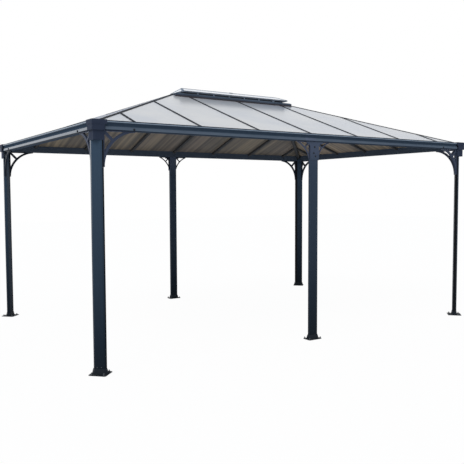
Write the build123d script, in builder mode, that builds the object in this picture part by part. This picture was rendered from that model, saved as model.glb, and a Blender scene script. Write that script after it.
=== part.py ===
from build123d import *
from math import atan2, cos, degrees, hypot, sin, sqrt
import os

# Plan: post axes, and the roof edge outside them
POST_X = 2430
POST_Y = 1605
EDGE_OUT = 25
ROOF_X = POST_X + EDGE_OUT
ROOF_Y = POST_Y + EDGE_OUT

# Heights
BEAM_BOTTOM = 2143
GUTTER_TOP = 2228
ROOF_EDGE_TOP = 2221
PITCH = 0.36

# Corner posts: hollow six-sided profile, broad faces to the corner's diagonal
POST_TIP = 45.5
POST_DEEP = 44
POST_WALL = 3
POST_ROUND = 4
POST_TOP = 2200

# Mid posts stand under the gutter, with a flared plate at the head
MID_OUT = 18
MID_WIDE = 100
MID_DEEP = 42
HEAD_WIDE = 118
HEAD_TALL = 200
HEAD_SPAN = 226
HEAD_BAR = 24
HEAD_FLARE = 40
HEAD_THICK = 4

# Feet
FOOT_PLATE = 5
FOOT_HEIGHT = 50
FOOT_SIDE = 164
MID_FOOT_WIDE = 174
MID_FOOT_DEEP = 116
FOOT_CLEAR = 0.5
FOOT_LIP = 2
FOOT_FLARE = 9
FOOT_CORNER = 10
BOLT_RADIUS = 5.5
BOLT_CIRCLE = 164
MID_BOLT_X = 146
MID_BOLT_Y = 88

# Eave beam profile, measured outward from the post axis
BEAM_INNER = -30
BEAM_FACE = 52
GUTTER_NOSE = 60
BAND_HEIGHT = 29
COVE_TOP = 68
COVE_DEPTH = 11
TROUGH_OUTER = 34
TROUGH_INNER = 6
TROUGH_FLOOR = 2178
BEAM_WALL = 4
BEAM_START = 62
JOINT_GAP = 1
SEAT_GAP = 0.3

# Corner caps
CAP_LEG = 140
CAP_WALL_LEG = 118
CAP_WALL = 3
CAP_CLEAR = 1
CAP_LID = 3
CAP_BAND = 42
CAP_REVEAL = 2
SKIRT_OUT = 49.5
SKIRT_LEG = 104
SKIRT_BOTTOM = 2055
CAP_INNER = 8
CAP_ROUND = 4

# Braces
BRACE_RUN = 300
BRACE_DROP = 320
BRACE_BAND = 25
BRACE_RADIUS = 310
MID_BRACE_RUN = 170
MID_BRACE_DROP = 178
MID_BRACE_BAND = 14
MID_BRACE_THICK = 10
MID_BRACE_RADIUS = 260
BRACE_BAR = 11
STRUT_START = 14
BRACE_THICK = 20
BRACE_OUT = 18
BRACE_START = 46
MID_BRACE_OUT = 13

# Roof framing
RAFTER_STEP = 686
RAFTER_WIDE = 36
RAFTER_DEEP = 30
RAFTER_WEB = 8
RAFTER_COVER = 26
COVER_THICK = 5
PANEL_THICK = 11
PANEL_GAP = 1
HIP_WIDE = 44
HIP_DEEP = 44
HIP_WEB = 12
HIP_COVER = 42
HIP_TOE = 20
HIP_HEEL = 18
SEAT_CLEAR = 0.2

# Vent frame and cap at the top of the roof
VENT_Y = 150
VENT_X = 873
VENT_WALL = 20
VENT_BOTTOM = 2690
VENT_TOP = 2787
VENT_LID = 120
VENT_LID_THICK = 4
RAIL_HALF = 850
RAIL_HEIGHT = 4
SPACER_HEIGHT = 18
SPACER_LONG = 14
SPACER_DEEP = 12
SPACER_STEP = 228
SPACER_COUNT = 6
CAP_HALF_X = 788
CAP_HALF_Y = 170
CAP_RIDGE = 720
CAP_EDGE = 14
CAP_EDGE_HEIGHT = 6
CAP_RISE = 55
CAP_PANEL = 7
CAP_BAR = 24
CAP_BAR_PROUD = 3

# Derived values
JACK_IN = ROOF_X - 3 * RAFTER_STEP
SIDE_STEP = (ROOF_Y - JACK_IN) / 2
HIP_FALL = PITCH / sqrt(2)
SLOPE_RUN = hypot(1, PITCH)
HIP_RUN = hypot(1, 1, PITCH)
HIP_END = VENT_X - ROOF_X + ROOF_Y
PANEL_TOP = -COVER_THICK
PANEL_BOTTOM = PANEL_TOP - PANEL_THICK
TALL = 4000
FOOT_TAPER = degrees(atan2(FOOT_FLARE, FOOT_HEIGHT - FOOT_PLATE))
RAIL_TOP = VENT_TOP + RAIL_HEIGHT
CAP_BOTTOM = RAIL_TOP + SPACER_HEIGHT
CAP_EAVE = CAP_BOTTOM + CAP_EDGE_HEIGHT

os.makedirs("parts", exist_ok=True)


def save(piece, name):
    piece.label = name
    export_step(piece, f"parts/{name}.step")


def roof_top(out):
    """Height of the roof's top plane at a distance outside the post axes."""
    return ROOF_EDGE_TOP + PITCH * (EDGE_OUT - out)


def post_outline(grow):
    """Plan of the front left corner post, grown by a margin."""
    with BuildSketch(Plane.XY.offset(FOOT_PLATE)) as outline:
        with Locations((-POST_X, -POST_Y)):
            Rectangle(2 * (POST_TIP + grow), 2 * (POST_TIP + grow))
            Rectangle(TALL, POST_DEEP + 2 * grow, rotation=-45, mode=Mode.INTERSECT)
    return outline.sketch


# Corner post at the front left; the others are mirror images
with BuildPart() as corner_post:
    extrude(post_outline(0), amount=POST_TOP - FOOT_PLATE)
    fillet(corner_post.edges().filter_by(Axis.Z), POST_ROUND)
    extrude(post_outline(-POST_WALL), amount=POST_TOP - FOOT_PLATE, mode=Mode.SUBTRACT)

# Corner foot: flared skirt round the post on a bolted plate
with BuildPart() as corner_foot:
    with BuildSketch(Plane((-POST_X, -POST_Y, 0), x_dir=(1, -1, 0), z_dir=(0, 0, 1))) as plate:
        Rectangle(FOOT_SIDE, FOOT_SIDE)
        chamfer(plate.vertices(), FOOT_CORNER)
        with PolarLocations(BOLT_CIRCLE / 2, 4, start_angle=45):
            Circle(BOLT_RADIUS, mode=Mode.SUBTRACT)
    extrude(amount=FOOT_PLATE)
    skirt = post_outline(FOOT_LIP + FOOT_FLARE)
    extrude(skirt, amount=FOOT_HEIGHT - FOOT_PLATE, taper=FOOT_TAPER)
    extrude(post_outline(FOOT_CLEAR), amount=FOOT_HEIGHT, mode=Mode.SUBTRACT)


def mid_outline(grow):
    """Plan of the front mid post, grown by a margin."""
    with BuildSketch(Plane((0, -POST_Y - MID_OUT, FOOT_PLATE))) as outline:
        Rectangle(MID_WIDE + 2 * grow, MID_DEEP + 2 * grow)
    return outline.sketch


# Mid post of the front, with the flared plate across the outer face of its head
with BuildPart() as mid_post:
    extrude(mid_outline(0), amount=BEAM_BOTTOM - FOOT_PLATE)
    fillet(mid_post.edges().filter_by(Axis.Z), POST_ROUND)
    outer_face = -POST_Y - MID_OUT - MID_DEEP / 2
    with BuildSketch(Plane((0, outer_face, BEAM_BOTTOM), x_dir=(1, 0, 0), z_dir=(0, -1, 0))) as head:
        Rectangle(HEAD_WIDE, HEAD_TALL, align=(Align.CENTER, Align.MAX))
        Rectangle(HEAD_SPAN, HEAD_BAR, align=(Align.CENTER, Align.MAX))
        fillet(head.vertices().group_by(Axis.Y)[1].sort_by(Axis.X)[1:3], HEAD_FLARE)
    extrude(amount=HEAD_THICK)
    extrude(mid_outline(-POST_WALL), amount=BEAM_BOTTOM - FOOT_PLATE, mode=Mode.SUBTRACT)

# Mid foot, with its flanges to the left and right
with BuildPart() as mid_foot:
    with BuildSketch(Plane((0, -POST_Y - MID_OUT, 0))) as mid_plate:
        Rectangle(MID_FOOT_WIDE, MID_FOOT_DEEP)
        chamfer(mid_plate.vertices(), FOOT_CORNER)
        with GridLocations(MID_BOLT_X, MID_BOLT_Y, 2, 2):
            Circle(BOLT_RADIUS, mode=Mode.SUBTRACT)
    extrude(amount=FOOT_PLATE)
    mid_skirt = mid_outline(FOOT_LIP + FOOT_FLARE)
    extrude(mid_skirt, amount=FOOT_HEIGHT - FOOT_PLATE, taper=FOOT_TAPER)
    extrude(mid_outline(FOOT_CLEAR), amount=FOOT_HEIGHT, mode=Mode.SUBTRACT)


def beam_section(plane):
    """Hollow eave beam: X of the plane is outward, Y is up, and its sloping top carries the panels."""
    seat_in = roof_top(BEAM_INNER) + PANEL_BOTTOM - SEAT_GAP
    seat_out = roof_top(TROUGH_INNER) + PANEL_BOTTOM - SEAT_GAP
    with BuildSketch(plane) as section:
        Polygon(
            (BEAM_INNER, BEAM_BOTTOM),
            (TROUGH_INNER, BEAM_BOTTOM),
            (TROUGH_INNER, seat_out),
            (BEAM_INNER, seat_in),
            align=None,
        )
        offset(amount=-BEAM_WALL, mode=Mode.SUBTRACT)
    return section.sketch


def floor_section(plane):
    """Hollow floor of the gutter, between the beam and the fascia."""
    with BuildSketch(plane) as section:
        with Locations((TROUGH_INNER, BEAM_BOTTOM)):
            Rectangle(TROUGH_OUTER - TROUGH_INNER, TROUGH_FLOOR - BEAM_BOTTOM, align=Align.MIN)
        offset(amount=-BEAM_WALL, mode=Mode.SUBTRACT)
    return section.sketch


def fascia_section(plane):
    """Outer face of the gutter: flat band, cove and rounded rim."""
    band_top = BEAM_BOTTOM + BAND_HEIGHT
    cove_top = BEAM_BOTTOM + COVE_TOP
    cove_mid = (band_top + cove_top) / 2
    rim_mid = (cove_top + GUTTER_TOP) / 2
    with BuildSketch(plane) as section:
        with BuildLine():
            Polyline(
                (BEAM_FACE, GUTTER_TOP),
                (TROUGH_OUTER, cove_mid),
                (TROUGH_OUTER, BEAM_BOTTOM),
                (BEAM_FACE, BEAM_BOTTOM),
                (BEAM_FACE, band_top),
            )
            ThreePointArc(
                (BEAM_FACE, band_top), (BEAM_FACE - COVE_DEPTH, cove_mid), (BEAM_FACE, cove_top)
            )
            ThreePointArc((BEAM_FACE, cove_top), (GUTTER_NOSE, rim_mid), (BEAM_FACE, GUTTER_TOP))
        make_face()
    return section.sketch


# Front beam, gutter floor and fascia: two halves that meet over the mid post
middle_end = Plane((-JOINT_GAP, -POST_Y, 0), x_dir=(0, -1, 0), z_dir=(-1, 0, 0))
half_length = POST_X - BEAM_START - JOINT_GAP
with BuildPart() as front_beam:
    extrude(beam_section(middle_end), amount=half_length)
    mirror(about=Plane.YZ)
with BuildPart() as front_floor:
    extrude(floor_section(middle_end), amount=half_length)
    mirror(about=Plane.YZ)
with BuildPart() as front_fascia:
    extrude(fascia_section(middle_end), amount=half_length)
    mirror(about=Plane.YZ)

# Left beam, gutter floor and fascia in one length
front_end = Plane((-POST_X, BEAM_START - POST_Y, 0), x_dir=(-1, 0, 0), z_dir=(0, 1, 0))
side_length = 2 * (POST_Y - BEAM_START)
with BuildPart() as left_beam:
    extrude(beam_section(front_end), amount=side_length)
with BuildPart() as left_floor:
    extrude(floor_section(front_end), amount=side_length)
with BuildPart() as left_fascia:
    extrude(fascia_section(front_end), amount=side_length)

# The gutter floors of all four sides
with BuildPart() as gutter_floor:
    add(front_floor.part)
    add(left_floor.part)
    mirror(front_floor.part, about=Plane.XZ)
    mirror(left_floor.part, about=Plane.YZ)


# Corner cap at the front left: lid, proud band, walls, shelf and hanging skirt in one moulding
CAP_OUT = GUTTER_NOSE + CAP_CLEAR + CAP_WALL
LID_TOP = GUTTER_TOP + CAP_CLEAR + CAP_LID


def corner_walls(height, outer, leg, wall):
    """Two walls that meet at the outer corner of the eaves."""
    with BuildSketch(Plane.XY.offset(height)) as walls:
        with Locations((-POST_X - outer, -POST_Y - outer)):
            Rectangle(leg, leg, align=Align.MIN)
            with Locations((wall, wall)):
                Rectangle(leg, leg, align=Align.MIN, mode=Mode.SUBTRACT)
    return walls.sketch


with BuildPart() as corner_cap:
    band_out = CAP_OUT + CAP_REVEAL
    shelf = CAP_OUT - SKIRT_OUT + CAP_WALL
    extrude(corner_walls(LID_TOP, band_out, CAP_LEG, band_out - CAP_INNER), amount=-CAP_LID)
    extrude(corner_walls(LID_TOP, band_out, CAP_LEG, CAP_WALL + CAP_REVEAL), amount=-CAP_BAND)
    extrude(corner_walls(LID_TOP, CAP_OUT, CAP_WALL_LEG, CAP_WALL), amount=BEAM_BOTTOM - LID_TOP)
    extrude(corner_walls(BEAM_BOTTOM, CAP_OUT, CAP_WALL_LEG, shelf), amount=-CAP_WALL)
    extrude(corner_walls(BEAM_BOTTOM, SKIRT_OUT, SKIRT_LEG, CAP_WALL), amount=SKIRT_BOTTOM - BEAM_BOTTOM)
    fillet(corner_cap.edges().filter_by(Axis.Z).group_by(Axis.X)[0].sort_by(Axis.Y)[0], CAP_ROUND)


def brace_outline(plane, inner, run, drop, band, radius):
    """Curved spandrel brace: arc band, top bar, side bar and a strut to the arc's middle."""
    across = run - BRACE_BAR
    down = drop - BRACE_BAR
    chord = hypot(across, down)
    away = sqrt(radius**2 - chord**2 / 4)
    centre_out = BRACE_BAR + across / 2 + away * down / chord
    centre_down = BRACE_BAR + down / 2 + away * across / chord
    centre = (inner + centre_out, -centre_down)
    lean = atan2(centre_down, centre_out)
    reach = hypot(centre_out, centre_down) - radius - band / 2
    with BuildSketch() as window:
        with Locations((inner + BRACE_BAR, -BRACE_BAR)):
            Rectangle(run, drop, align=(Align.MIN, Align.MAX))
        with Locations(centre):
            Circle(radius + band, mode=Mode.SUBTRACT)
    with BuildSketch(plane) as outline:
        with Locations((inner, 0)):
            Rectangle(run, drop, align=(Align.MIN, Align.MAX))
        with Locations(centre):
            Circle(radius, mode=Mode.SUBTRACT)
        add(window.sketch, mode=Mode.SUBTRACT)
        middle = (reach + STRUT_START) / 2
        with Locations((inner + middle * cos(lean), -middle * sin(lean))):
            Rectangle(reach - STRUT_START, band, rotation=-degrees(lean))
    return outline.sketch


# Braces of the front left corner
with BuildPart() as corner_braces:
    brace_sizes = (BRACE_START, BRACE_RUN, BRACE_DROP, BRACE_BAND, BRACE_RADIUS)
    along_front = Plane(
        (-POST_X, -POST_Y - BRACE_OUT, BEAM_BOTTOM), x_dir=(1, 0, 0), z_dir=(0, -1, 0)
    )
    along_left = Plane(
        (-POST_X - BRACE_OUT, -POST_Y, BEAM_BOTTOM), x_dir=(0, 1, 0), z_dir=(1, 0, 0)
    )
    extrude(brace_outline(along_front, *brace_sizes), amount=BRACE_THICK)
    extrude(brace_outline(along_left, *brace_sizes), amount=-BRACE_THICK)

# Braces on both sides of the front mid post
with BuildPart() as mid_braces:
    mid_sizes = (MID_WIDE / 2, MID_BRACE_RUN, MID_BRACE_DROP, MID_BRACE_BAND, MID_BRACE_RADIUS)
    along_middle = Plane(
        (0, -POST_Y - MID_BRACE_OUT, BEAM_BOTTOM), x_dir=(1, 0, 0), z_dir=(0, -1, 0)
    )
    extrude(brace_outline(along_middle, *mid_sizes), amount=MID_BRACE_THICK)
    mirror(about=Plane.YZ)

# Vent frame: a rectangular curb that the rafters and hips butt against, closed by a lid at each
# end and open between the lids
with BuildPart() as vent_frame:
    with BuildSketch(Plane.XY.offset(VENT_BOTTOM)):
        Rectangle(2 * VENT_X, 2 * VENT_Y)
        Rectangle(2 * (VENT_X - VENT_WALL), 2 * (VENT_Y - VENT_WALL), mode=Mode.SUBTRACT)
    extrude(amount=VENT_TOP - VENT_BOTTOM)
    with BuildSketch(Plane.XY.offset(VENT_TOP)):
        with GridLocations(2 * VENT_X - VENT_LID, 0, 2, 1):
            Rectangle(VENT_LID, 2 * VENT_Y)
    extrude(amount=-VENT_LID_THICK)

# Hip bar of the front left corner: box below, web and gabled cover above the panels
with BuildPart() as front_left_hip:
    hip_x = (1, -1, 0)
    hip_z = (-1, -1, 0)
    with BuildSketch(
        Plane((-POST_X - HIP_TOE, -POST_Y - HIP_TOE, roof_top(HIP_TOE)), x_dir=hip_x, z_dir=hip_z)
    ):
        with BuildLine():
            Polyline(
                (0, 0),
                (HIP_COVER / 2, -HIP_FALL * HIP_COVER / 2),
                (HIP_COVER / 2, PANEL_TOP - HIP_FALL * HIP_COVER / 2),
                (HIP_WEB / 2, PANEL_TOP - HIP_FALL * HIP_WEB / 2),
                (HIP_WEB / 2, PANEL_BOTTOM - HIP_FALL * HIP_WEB / 2),
                (0, PANEL_BOTTOM),
            )
            mirror(about=Plane.YZ)
        make_face()
    extrude(amount=(POST_Y + HIP_TOE) * HIP_RUN, dir=(1, 1, PITCH))
    with BuildSketch(
        Plane((-POST_X + HIP_HEEL, -POST_Y + HIP_HEEL, roof_top(-HIP_HEEL)), x_dir=hip_x, z_dir=hip_z)
    ):
        with BuildLine():
            Polyline(
                (0, PANEL_BOTTOM),
                (HIP_WIDE / 2, PANEL_BOTTOM - HIP_FALL * HIP_WIDE / 2),
                (HIP_WIDE / 2, PANEL_BOTTOM - HIP_DEEP),
                (0, PANEL_BOTTOM - HIP_DEEP),
            )
            mirror(about=Plane.YZ)
        make_face()
    extrude(amount=(POST_Y - HIP_HEEL) * HIP_RUN, dir=(1, 1, PITCH))
    with BuildSketch():
        Rectangle(2 * VENT_X, 2 * VENT_Y)
    extrude(amount=TALL, mode=Mode.SUBTRACT)

# Two of the other hips, for the trimming of the rafters
front_right_hip = front_left_hip.part.mirror(Plane.YZ)
back_left_hip = front_left_hip.part.mirror(Plane.XZ)


def rafter_box(plane, place):
    """Box of one rafter, under the panels."""
    with BuildSketch(plane) as section:
        with Locations((place, PANEL_BOTTOM)):
            Rectangle(RAFTER_WIDE, RAFTER_DEEP, align=(Align.CENTER, Align.MAX))
    return section.sketch


def rafter_cover(plane, place):
    """Web between two panels and the cover strip that clamps them."""
    with BuildSketch(plane) as section:
        with Locations((place, 0)):
            Rectangle(RAFTER_WEB, -PANEL_BOTTOM, align=(Align.CENTER, Align.MAX))
            Rectangle(RAFTER_COVER, COVER_THICK, align=(Align.CENTER, Align.MAX))
    return section.sketch


# Rafters of the front slope, cut back to the hips
FRONT_PLACES = [step * RAFTER_STEP for step in range(-3, 4)]
front_heel = Plane(
    (0, -POST_Y - BEAM_INNER, roof_top(BEAM_INNER)), x_dir=(1, 0, 0), z_dir=(0, -1, 0)
)
front_eave = Plane((0, -ROOF_Y, ROOF_EDGE_TOP), x_dir=(1, 0, 0), z_dir=(0, -1, 0))
with BuildPart() as front_rafters:
    for place in FRONT_PLACES:
        reach = min(ROOF_X - abs(place) + RAFTER_WIDE, ROOF_Y - VENT_Y)
        box_reach = reach - EDGE_OUT + BEAM_INNER
        extrude(rafter_box(front_heel, place), amount=box_reach * SLOPE_RUN, dir=(0, 1, PITCH))
        extrude(rafter_cover(front_eave, place), amount=reach * SLOPE_RUN, dir=(0, 1, PITCH))
    with BuildSketch():
        Polygon(
            (-ROOF_X, -ROOF_Y),
            (ROOF_X, -ROOF_Y),
            (ROOF_X - ROOF_Y, 0),
            (ROOF_Y - ROOF_X, 0),
            align=None,
        )
    extrude(amount=TALL, mode=Mode.INTERSECT)
    add(front_left_hip.part, mode=Mode.SUBTRACT)
    add(front_right_hip, mode=Mode.SUBTRACT)

# Rafters of the left slope
LEFT_PLACES = [step * SIDE_STEP for step in range(-2, 3)]
left_heel = Plane(
    (-POST_X - BEAM_INNER, 0, roof_top(BEAM_INNER)), x_dir=(0, -1, 0), z_dir=(-1, 0, 0)
)
left_eave = Plane((-ROOF_X, 0, ROOF_EDGE_TOP), x_dir=(0, -1, 0), z_dir=(-1, 0, 0))
with BuildPart() as left_rafters:
    for place in LEFT_PLACES:
        reach = min(ROOF_Y - abs(place) + RAFTER_WIDE, ROOF_X - VENT_X)
        box_reach = reach - EDGE_OUT + BEAM_INNER
        extrude(rafter_box(left_heel, place), amount=box_reach * SLOPE_RUN, dir=(1, 0, PITCH))
        extrude(rafter_cover(left_eave, place), amount=reach * SLOPE_RUN, dir=(1, 0, PITCH))
    with BuildSketch():
        Polygon((-ROOF_X, -ROOF_Y), (ROOF_Y - ROOF_X, 0), (-ROOF_X, ROOF_Y), align=None)
    extrude(amount=TALL, mode=Mode.INTERSECT)
    add(front_left_hip.part, mode=Mode.SUBTRACT)
    add(back_left_hip, mode=Mode.SUBTRACT)

HIP_CLEAR = (HIP_WEB / 2 + PANEL_GAP) * sqrt(2)
PANEL_STOP = HIP_END + PANEL_GAP
SLOT = RAFTER_WEB + 2 * PANEL_GAP
SHEET_TOP = PANEL_TOP - SEAT_CLEAR
SHEET_BOTTOM = PANEL_BOTTOM + SEAT_CLEAR


def slope_sheet(plane):
    """Side view of one slope's sheet, from the eaves up to the vent frame."""
    rise = PITCH * (ROOF_Y - PANEL_STOP)
    with BuildSketch(plane) as sheet:
        Polygon(
            (0, SHEET_BOTTOM),
            (0, SHEET_TOP),
            (ROOF_Y - PANEL_STOP, SHEET_TOP + rise),
            (ROOF_Y - PANEL_STOP, SHEET_BOTTOM + rise),
            align=None,
        )
    return sheet.sketch


# Panels of the front slope, trimmed along the hips and parted by the rafter webs
with BuildPart() as front_panels:
    front_side = Plane((0, -ROOF_Y, ROOF_EDGE_TOP), x_dir=(0, 1, 0), z_dir=(1, 0, 0))
    extrude(slope_sheet(front_side), amount=ROOF_X, both=True)
    with BuildSketch():
        Polygon(
            (-ROOF_X + HIP_CLEAR, -ROOF_Y),
            (ROOF_X - HIP_CLEAR, -ROOF_Y),
            (ROOF_X - ROOF_Y + PANEL_STOP - HIP_CLEAR, -PANEL_STOP),
            (ROOF_Y - ROOF_X - PANEL_STOP + HIP_CLEAR, -PANEL_STOP),
            align=None,
        )
    extrude(amount=TALL, mode=Mode.INTERSECT)
    with BuildSketch():
        Rectangle(2 * (VENT_X + PANEL_GAP), 2 * (VENT_Y + PANEL_GAP))
        with Locations([(place, -ROOF_Y) for place in FRONT_PLACES]):
            Rectangle(SLOT, 2 * ROOF_Y)
    extrude(amount=TALL, mode=Mode.SUBTRACT)

# Panels of the left slope
with BuildPart() as left_panels:
    left_side = Plane((-ROOF_X, 0, ROOF_EDGE_TOP), x_dir=(1, 0, 0), z_dir=(0, -1, 0))
    extrude(slope_sheet(left_side), amount=ROOF_Y, both=True)
    with BuildSketch():
        Polygon(
            (-ROOF_X, ROOF_Y - HIP_CLEAR),
            (-ROOF_X, HIP_CLEAR - ROOF_Y),
            (ROOF_Y - ROOF_X - PANEL_STOP, HIP_CLEAR - PANEL_STOP),
            (ROOF_Y - ROOF_X - PANEL_STOP, PANEL_STOP - HIP_CLEAR),
            align=None,
        )
    extrude(amount=TALL, mode=Mode.INTERSECT)
    with BuildSketch():
        with Locations([(-ROOF_X, place) for place in LEFT_PLACES]):
            Rectangle(2 * ROOF_X, SLOT)
    extrude(amount=TALL, mode=Mode.SUBTRACT)

# Vent rails on the long sides of the vent frame
with BuildPart() as vent_rails:
    with BuildSketch(Plane.XY.offset(VENT_TOP)):
        with GridLocations(0, 2 * VENT_Y - VENT_WALL, 1, 2):
            Rectangle(2 * RAIL_HALF, VENT_WALL)
    extrude(amount=RAIL_HEIGHT)

# Spacer blocks that hold the cap off the rails and leave the vent slot
with BuildPart() as vent_spacers:
    with BuildSketch(Plane.XY.offset(RAIL_TOP)):
        with GridLocations(SPACER_STEP, 2 * VENT_Y - VENT_WALL, SPACER_COUNT, 2):
            Rectangle(SPACER_LONG, SPACER_DEEP)
    extrude(amount=SPACER_HEIGHT)

# Edge frame of the vent cap
with BuildPart() as cap_frame:
    with BuildSketch(Plane.XY.offset(CAP_BOTTOM)):
        Rectangle(2 * CAP_HALF_X, 2 * CAP_HALF_Y)
        Rectangle(2 * (CAP_HALF_X - CAP_EDGE), 2 * (CAP_HALF_Y - CAP_EDGE), mode=Mode.SUBTRACT)
    extrude(amount=CAP_EDGE_HEIGHT)


def hipped_block(lift):
    """Solid under the cap's hipped surface, raised by lift."""
    eave = CAP_EAVE + lift
    with BuildPart() as block:
        with BuildSketch(Plane.YZ):
            Polygon(
                (-CAP_HALF_Y, CAP_BOTTOM),
                (CAP_HALF_Y, CAP_BOTTOM),
                (CAP_HALF_Y, eave),
                (0, eave + CAP_RISE),
                (-CAP_HALF_Y, eave),
                align=None,
            )
        extrude(amount=CAP_HALF_X, both=True)
        with BuildSketch(Plane.XZ):
            Polygon(
                (-CAP_HALF_X, CAP_BOTTOM),
                (CAP_HALF_X, CAP_BOTTOM),
                (CAP_HALF_X, eave),
                (CAP_RIDGE, eave + CAP_RISE),
                (-CAP_RIDGE, eave + CAP_RISE),
                (-CAP_HALF_X, eave),
                align=None,
            )
        extrude(amount=CAP_HALF_Y, both=True, mode=Mode.INTERSECT)
    return block.part


def cap_lines(wide):
    """Plan of the cap's ridge and hips, drawn as strips."""
    turn = degrees(atan2(CAP_HALF_Y, CAP_HALF_X - CAP_RIDGE))
    with BuildSketch() as strips:
        Rectangle(2 * CAP_RIDGE, wide)
        for side, angle in ((1, turn), (-1, 180 - turn), (-1, 180 + turn), (1, -turn)):
            with Locations(Location((side * CAP_RIDGE, 0, 0), (0, 0, angle))):
                Rectangle(2 * CAP_HALF_Y, wide, align=(Align.MIN, Align.CENTER))
    return strips.sketch


# Ridge and hip bars of the cap, proud of its panels
with BuildPart() as cap_bars:
    add(hipped_block(CAP_PANEL + CAP_BAR_PROUD))
    add(hipped_block(0), mode=Mode.SUBTRACT)
    extrude(cap_lines(CAP_BAR), amount=TALL, mode=Mode.INTERSECT)

# Four panels of the cap
with BuildPart() as cap_panels:
    add(hipped_block(CAP_PANEL))
    add(hipped_block(0), mode=Mode.SUBTRACT)
    extrude(cap_lines(CAP_BAR + 2 * PANEL_GAP), amount=TALL, mode=Mode.SUBTRACT)

# Pieces that repeat at the four corners
for piece, name in (
    (corner_post.part, "post"),
    (corner_foot.part, "foot"),
    (corner_cap.part, "gutter_cap"),
    (corner_braces.part, "braces"),
    (front_left_hip.part, "hip"),
):
    save(piece, f"front_left_{name}")
    save(piece.mirror(Plane.YZ), f"front_right_{name}")
    save(piece.mirror(Plane.XZ), f"back_left_{name}")
    save(piece.mirror(Plane.YZ).mirror(Plane.XZ), f"back_right_{name}")

# Pieces of the front that repeat at the back
for piece, name in (
    (mid_post.part, "mid_post"),
    (mid_foot.part, "mid_foot"),
    (mid_braces.part, "mid_braces"),
    (front_beam.part, "beam"),
    (front_fascia.part, "gutter_fascia"),
    (front_rafters.part, "rafters"),
    (front_panels.part, "panels"),
):
    save(piece, f"front_{name}")
    save(piece.mirror(Plane.XZ), f"back_{name}")

# Pieces of the left side that repeat on the right
for piece, name in (
    (left_beam.part, "beam"),
    (left_fascia.part, "gutter_fascia"),
    (left_rafters.part, "rafters"),
    (left_panels.part, "panels"),
):
    save(piece, f"left_{name}")
    save(piece.mirror(Plane.YZ), f"right_{name}")

# Gutter floors, and the single pieces of the vent
for piece, name in (
    (gutter_floor.part, "gutter_floor"),
    (vent_frame.part, "vent_frame"),
    (vent_rails.part, "vent_rails"),
    (vent_spacers.part, "vent_spacers"),
    (cap_frame.part, "vent_cap_frame"),
    (cap_bars.part, "vent_cap_bars"),
    (cap_panels.part, "vent_cap_panels"),
):
    save(piece, name)
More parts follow.
